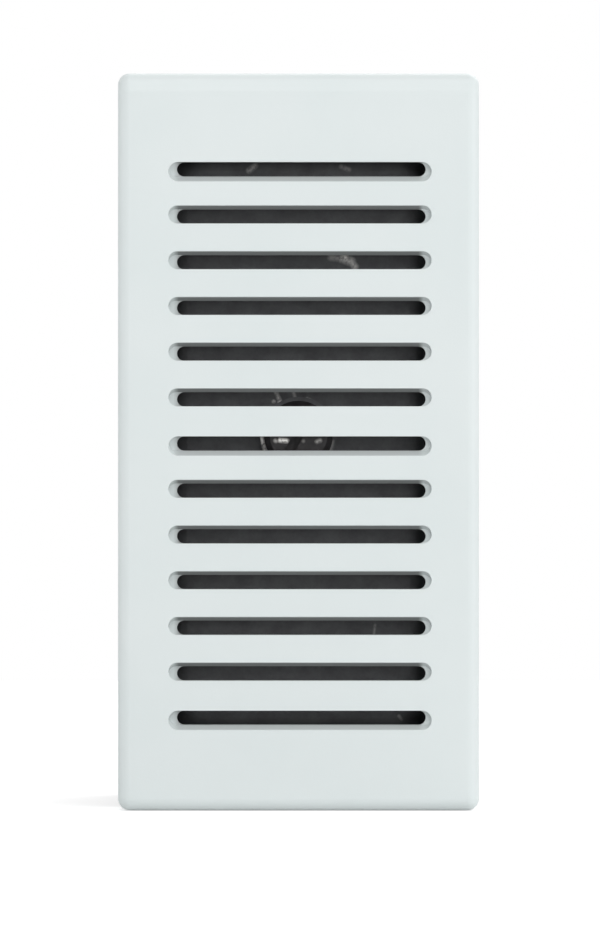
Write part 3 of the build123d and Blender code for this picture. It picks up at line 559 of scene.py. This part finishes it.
def cut(piece, tool):
    """Cut a tool's shape out of a piece, and take the tool away."""
    only(piece)
    cutter = piece.modifiers.new("cut", "BOOLEAN")
    cutter.object = tool
    cutter.solver = "EXACT"
    bpy.ops.object.modifier_apply(modifier=cutter.name)
    bpy.data.objects.remove(tool)


def join(*parts):
    """Join pieces into the first one."""
    only(*parts)
    bpy.ops.object.join()
    return bpy.context.object


# %% Finishing
def finish(piece, name, material, angle=35):
    """Finish a piece: its place in its mesh, faces outwards, smoothed, painted and named."""
    same_point = 0.0005 * mm
    only(piece)
    piece.name = piece.data.name = name
    bpy.ops.object.transform_apply(location=True, rotation=True, scale=True)
    bpy.ops.object.mode_set(mode="EDIT")
    bpy.ops.mesh.select_all(action="SELECT")
    bpy.ops.mesh.remove_doubles(threshold=same_point)
    bpy.ops.mesh.normals_make_consistent(inside=False)
    bpy.ops.object.mode_set(mode="OBJECT")
    bpy.ops.object.shade_smooth_by_angle(angle=radians(angle))
    piece.data.materials.clear()
    piece.data.materials.append(material)
    print(name, len(piece.data.polygons), "faces")
    return piece


# %% [markdown]
# ## The reed
# The reed is the hammer's hinge: a strip of 0.1 mm spring steel, clamped to the magnet's plate,
# bent over its top edge and riveted to the armature. A plane is extruded up the plate, spun round
# the bend and extruded back over the armature, then given its thickness, which is how the strip
# itself would be bent. Close rows of edges lie near the bend.

# %% Reed
low, high = [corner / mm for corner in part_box("armature_reed")]
thickness, bend = 0.1, 0.5
rows_up, rows_round, rows_over = 16, 6, 8
reed_y, reed_z = low.y + thickness / 2, high.z - thickness / 2
rise, reach = reed_z - bend - low.z, high.y - reed_y - bend
only()
first_middle = low.z + rise / rows_up / 2
bpy.ops.mesh.primitive_plane_add(
    size=mm, location=Vector((0, reed_y, first_middle)) * mm, rotation=(pi / 2, 0, 0))
reed = bpy.context.object
reed.scale = (high.x - low.x, rise / rows_up, 1.0)
bpy.ops.object.transform_apply(location=True, rotation=True, scale=True)
bpy.ops.object.mode_set(mode="EDIT")
pick(lambda place: place.z > first_middle)
for _ in range(rows_up - 1):
    bpy.ops.mesh.extrude_region_move(
        TRANSFORM_OT_translate={"value": (0, 0, rise / rows_up * mm)})
bpy.ops.mesh.spin(steps=rows_round, angle=pi / 2, axis=(1, 0, 0),
                  center=Vector((0, reed_y + bend, reed_z - bend)) * mm)
for _ in range(rows_over):
    bpy.ops.mesh.extrude_region_move(
        TRANSFORM_OT_translate={"value": (0, reach / rows_over * mm, 0)})
bpy.ops.object.mode_set(mode="OBJECT")
wall = reed.modifiers.new("sheet", "SOLIDIFY")
wall.thickness = thickness * mm
wall.offset = 0
bpy.ops.object.modifier_apply(modifier=wall.name)
print("reed", [round(v / mm, 2) for v in reed.dimensions], "mm")

# %% Holes in the reed, and its flex
screw_hole, rivet_hole, hole_sides, through = 0.82, 0.62, 24, 1.0
screws_low, screws_high = [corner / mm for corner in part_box("reed_screws")]
rivets_low, rivets_high = [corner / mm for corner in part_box("armature_rivets")]
clamp_z = (screws_low.z + screws_high.z) / 2
head_radius = (screws_high.z - screws_low.z) / 2
for x in (screws_low.x + head_radius, screws_high.x - head_radius):
    cut(reed, cylinder(screw_hole, reed_y - through, reed_y + through, x, clamp_z, hole_sides))
rivet_head = (rivets_high.x - rivets_low.x) / 2
for y in (rivets_low.y + rivet_head, rivets_high.y - rivet_head):
    only()
    bpy.ops.mesh.primitive_cylinder_add(
        vertices=hole_sides, radius=rivet_hole * mm, depth=2 * through * mm,
        location=Vector((0, y, reed_z)) * mm)
    cut(reed, bpy.context.object)
finish(reed, "flexing_reed", spring_steel)
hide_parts("armature_reed")
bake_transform(reed)

# %% [markdown]
# ## The winding
# The coil is wound in neat layers, and only its top layer shows above and below the tape. Real
# wire is 0.12 mm thick, over a hundred turns to a layer. It is drawn at 0.3 mm here, so that the
# turns can be told apart. A small circle stands at the radius of the top layer, and a Screw
# modifier winds it up the coil, as the winding machine does. A sleeve stands for the layers below.

# %% Winding
low, high = [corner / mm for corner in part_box("coil_winding")]
core_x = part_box("core")[1].x / mm
coil_x, coil_y = (low.x + high.x) / 2, (low.y + high.y) / 2
outer, wire = (high.x - low.x) / 2, 0.3
play = 0.01  # keeps neighbouring turns, and the winding and its bobbin, apart
tube_wall = 0.85  # the bobbin's tube and its gap, round the core
wire_sides, steps_a_turn, sleeve_sides = 8, 40, 64
turns = int((high.z - low.z) / wire) - 1
pitch = (high.z - low.z - wire - 2 * play) / turns
only()
bpy.ops.mesh.primitive_circle_add(
    vertices=wire_sides, radius=(wire / 2 - play) * mm,
    location=Vector((coil_x, coil_y, low.z + wire / 2 + play)) * mm)
winding = bpy.context.object
bpy.ops.object.mode_set(mode="EDIT")
bpy.ops.mesh.select_all(action="SELECT")
bpy.ops.transform.rotate(value=pi / 2, orient_axis="X", center_override=winding.location)
bpy.ops.transform.translate(value=((outer - wire / 2 - play) * mm, 0, 0))
bpy.ops.object.mode_set(mode="OBJECT")
sweep = winding.modifiers.new("sweep", "SCREW")
sweep.axis = "Z"
sweep.steps = sweep.render_steps = steps_a_turn
sweep.iterations = turns
sweep.screw_offset = pitch * mm
bpy.ops.object.modifier_apply(modifier=sweep.name)
bpy.ops.object.mode_set(mode="EDIT")
bpy.ops.mesh.select_all(action="SELECT")
bpy.ops.mesh.fill_holes(sides=wire_sides)
bpy.ops.object.mode_set(mode="OBJECT")
print("turns drawn:", turns)

# %% The layers below
only()
bpy.ops.mesh.primitive_cylinder_add(
    vertices=sleeve_sides, radius=(outer - wire / 2) * mm,
    depth=(high.z - low.z - 2 * play) * mm,
    location=Vector((coil_x, coil_y, (low.z + high.z) / 2)) * mm)
sleeve = bpy.context.object
bpy.ops.mesh.primitive_cylinder_add(
    vertices=sleeve_sides, radius=(core_x + tube_wall + play) * mm,
    depth=2 * (high.z - low.z) * mm, location=sleeve.location)
cut(sleeve, bpy.context.object)
winding = finish(join(winding, sleeve), "wound_wire", enamelled_wire, 60)
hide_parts("coil_winding")
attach(winding, "root")

# %% [markdown]
# ## Terminal screws
# A terminal screw is an M3 cheese head: a turned head with a rounded rim and a milled slot, on a
# rolled thread of 0.5 mm pitch. The thread starts as one tooth of its outline, three points long.
# A Screw modifier winds it up the shank, each turn joined to the next, and two flat cuts that
# leave a cap close its ends. Cutting rings into a rod would look alike, but a thread is a helix.

# %% Thread
cut_threshold = 0.0001 * mm  # how near to a cutting plane a point counts as on it


def threaded_shank(x, z, start, end, radius, pitch):
    """A threaded shank along Y between two depths, all in millimetres."""
    root = radius - 0.54 * pitch  # an ISO thread is 0.54 of its pitch deep
    lead_in, spare_turns = 1.25 * pitch, 3  # thread beyond both ends, for the cuts to take off
    steps_a_turn = 32
    only()
    bpy.ops.mesh.primitive_plane_add(size=pitch * mm, rotation=(pi / 2, 0, 0))
    shank = bpy.context.object
    bpy.ops.object.transform_apply(rotation=True)
    bpy.ops.object.mode_set(mode="EDIT")
    pick(lambda place: place.x > 0)
    bpy.ops.mesh.delete(type="VERT")
    bpy.ops.mesh.select_all(action="SELECT")
    bpy.ops.mesh.subdivide(number_cuts=1)
    bpy.ops.transform.translate(value=((root + pitch / 2) * mm, 0, 0))
    pick(lambda place: abs(place.z) < 0.1 * pitch)
    bpy.ops.transform.translate(value=((radius - root) * mm, 0, 0))
    bpy.ops.object.mode_set(mode="OBJECT")
    thread = shank.modifiers.new("thread", "SCREW")
    thread.axis = "Z"
    thread.steps = thread.render_steps = steps_a_turn
    thread.iterations = int((end - start) / pitch) + spare_turns
    thread.screw_offset = pitch * mm
    thread.use_merge_vertices = True
    thread.merge_threshold = 0.001 * mm
    bpy.ops.object.modifier_apply(modifier=thread.name)
    shank.rotation_euler = (-pi / 2, 0, 0)
    shank.location = Vector((x, start - lead_in, z)) * mm
    bpy.ops.object.transform_apply(location=True, rotation=True)
    bpy.ops.object.mode_set(mode="EDIT")
    for depth, outwards in ((start, -1), (end, 1)):
        bpy.ops.mesh.select_all(action="SELECT")
        bpy.ops.mesh.bisect(plane_co=(0, depth * mm, 0), plane_no=(0, outwards, 0),
                            threshold=cut_threshold, use_fill=True, clear_outer=True)
    bpy.ops.object.mode_set(mode="OBJECT")
    return shank


# %% Head
head_sides, shank_sides = 64, 24
on_end = 0.01  # a point this near to an end face, in millimetres, lies on it


def round_head(x, z, bearing, top, radius, rim):
    """A screw head along Y from its bearing face to its top, the top's rim rounded."""
    head = cylinder(radius, min(bearing, top), max(bearing, top), x, z, head_sides)
    bpy.ops.object.mode_set(mode="EDIT")
    pick(lambda place: abs(place.y - top) < on_end)
    bpy.ops.mesh.bevel(offset=rim * mm, segments=4, affect="EDGES")
    bpy.ops.object.mode_set(mode="OBJECT")
    return head


# %% Terminal screws
bar_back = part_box("terminal_bar_left")[1].y / mm
head_height, rim, m3_radius, m3_pitch = 1.8, 0.3, 1.5, 0.5
slot_width, slot_depth, slot_turn = 0.9, 1.0, radians(30)
overlap = 0.05  # how far the shank reaches into the head
for side, turn in (("left", -slot_turn), ("right", slot_turn)):
    node = "terminal_screw_" + side
    low, high = [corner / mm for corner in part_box(node)]
    x, z, radius = (low.x + high.x) / 2, (low.z + high.z) / 2, (high.x - low.x) / 2
    seat = high.y - head_height
    head = round_head(x, z, seat, high.y, radius, rim)
    cut(head, bar_tool((x, high.y, z), (3 * radius, 2 * slot_depth, slot_width), -turn))
    shank = threaded_shank(x, z, bar_back, seat + overlap, m3_radius, m3_pitch)
    made = finish(join(head, shank), "threaded_screw_" + side, zinc)
    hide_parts(node)
    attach(made, "screw_" + side)

# %% [markdown]
# ## Cross-recess screws
# The back cover is held by two self-cutting screws, and the magnet frame by four. A header punches
# the recess as a cross that narrows downwards, so the cutter here is a cross of two bars whose
# bottom face is drawn in. One screw of each kind is modelled and then copied to its other places.

# %% One screw with a cross recess
def cross_screw(x, z, bearing, top, head_radius, tip, shank_radius):
    """A pan-head screw along Y with a cross recess in its top, all in millimetres."""
    height = abs(top - bearing)
    out = 1 if top > bearing else -1
    rim, recess_depth = 0.45 * height, 0.62 * height
    arm, span = 0.3 * head_radius, 1.15 * head_radius
    narrowing, point = 0.7, 0.3
    head = round_head(x, z, bearing, top, head_radius, rim)
    for size in ((span, 2 * recess_depth, arm), (arm, 2 * recess_depth, span)):
        tool = bar_tool((x, top, z), size, pi / 4)
        bpy.ops.object.mode_set(mode="EDIT")
        pick(lambda place: (place.y - top) * out < 0)
        centre = Vector((x, top - out * recess_depth, z)) * mm
        bpy.ops.transform.resize(value=(narrowing, 1.0, narrowing), center_override=centre)
        bpy.ops.object.mode_set(mode="OBJECT")
        cut(head, tool)
    shank = cylinder(shank_radius, min(bearing, tip), max(bearing, tip), x, z, shank_sides)
    bpy.ops.object.mode_set(mode="EDIT")
    pick(lambda place: abs(place.y - tip) < on_end)
    bpy.ops.mesh.bevel(offset=point * mm, segments=1, affect="EDGES")
    bpy.ops.object.mode_set(mode="OBJECT")
    return join(head, shank)


# %% Copies
def copy_to(piece, x, z):
    """A copy with its own mesh, moved across the face by x and z millimetres."""
    only(piece)
    bpy.ops.object.duplicate(linked=False)
    bpy.ops.transform.translate(value=(x * mm, 0, z * mm))
    return bpy.context.object


# %% Case screws
low, high = [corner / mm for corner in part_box("case_screws")]
radius, head_height, shank_radius = (high.x - low.x) / 2, 1.2, 0.88
first = cross_screw(
    0, low.z + radius, high.y - head_height, high.y, radius, low.y, shank_radius)
second = copy_to(first, 0, high.z - low.z - 2 * radius)
case_screws = finish(join(first, second), "cross_screws_case", zinc)
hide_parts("case_screws")
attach(case_screws, "root")

# %% Frame screws
low, high = [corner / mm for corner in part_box("frame_screws")]
radius, head_height, shank_radius = 1.75, 1.1, 0.78
across, up = high.x - low.x - 2 * radius, high.z - low.z - 2 * radius
first = cross_screw(low.x + radius, low.z + radius, low.y + head_height, low.y, radius,
                    high.y, shank_radius)
others = [copy_to(first, *move) for move in ((across, 0), (0, up), (across, up))]
frame_screws = finish(join(first, *others), "cross_screws_frame", zinc)
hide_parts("frame_screws")
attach(frame_screws, "root")

# %% [markdown]
# ## Solder
# The ends of the winding are soldered to the pins behind the brass bars. A drop of solder wets
# the bar in a wide foot and climbs the pin, so a sphere is cut flat against the bar and its
# outer half is drawn in.

# %% Solder drops
drop_radius, clear_of_bar = 0.85, 0.01
neck, neck_share = 0.3, 0.75  # the height at which the drop narrows, and to what share
pins_low, pins_high = [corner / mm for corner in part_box("coil_pins")]
pin_radius = (pins_high.z - pins_low.z) / 2
pin_x, pin_z = pins_high.x - pin_radius, (pins_low.z + pins_high.z) / 2
drop_centre = Vector((-pin_x, bar_back, pin_z)) * mm
only()
bpy.ops.mesh.primitive_uv_sphere_add(
    segments=32, ring_count=20, radius=drop_radius * mm, location=drop_centre,
    rotation=(pi / 2, 0, 0))
drop = bpy.context.object
bpy.ops.object.transform_apply(location=True, rotation=True)
bpy.ops.object.mode_set(mode="EDIT")
bpy.ops.mesh.select_all(action="SELECT")
bpy.ops.mesh.bisect(plane_co=(0, (bar_back + clear_of_bar) * mm, 0), plane_no=(0, -1, 0),
                    threshold=cut_threshold, use_fill=True, clear_outer=True)
pick(lambda place: place.y > bar_back + neck)
bpy.ops.transform.resize(value=(neck_share, 1.0, neck_share), center_override=drop_centre)
bpy.ops.object.mode_set(mode="OBJECT")
drops = finish(join(drop, copy_to(drop, 2 * pin_x, 0)), "solder_drops", tin, 50)
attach(drops, "root")
